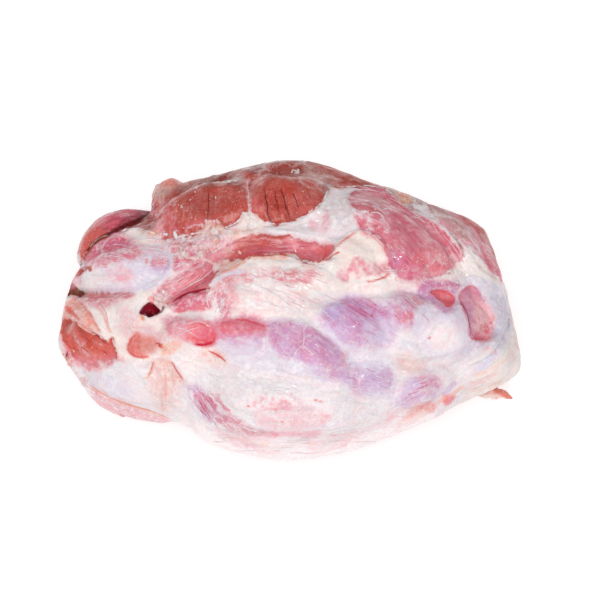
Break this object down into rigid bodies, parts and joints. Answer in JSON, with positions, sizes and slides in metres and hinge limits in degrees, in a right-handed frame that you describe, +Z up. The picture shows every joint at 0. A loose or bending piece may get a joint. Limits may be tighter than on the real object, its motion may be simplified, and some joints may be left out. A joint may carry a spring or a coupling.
{
  "type": "beef shoulder clod",
  "caption": "Raw boneless beef shoulder clod: a broad lump of joined muscles under white membrane and fat, lying on its flat side, for kitchen, butcher and grocery scenes.",
  "frame": {"origin": "middle of the flat side that the meat rests on, under the middle of its outline", "axes": "+X towards the thick end, +Y towards the back edge with the two bare brown muscles, +Z up through the membrane face"},
  "size_m": [0.3841, 0.2661, 0.1277],
  "materials": {
    "meat": "wet satin"
  },
  "bodies": {
    "root": {"clod": "meat"}
  },
  "joints": []
}
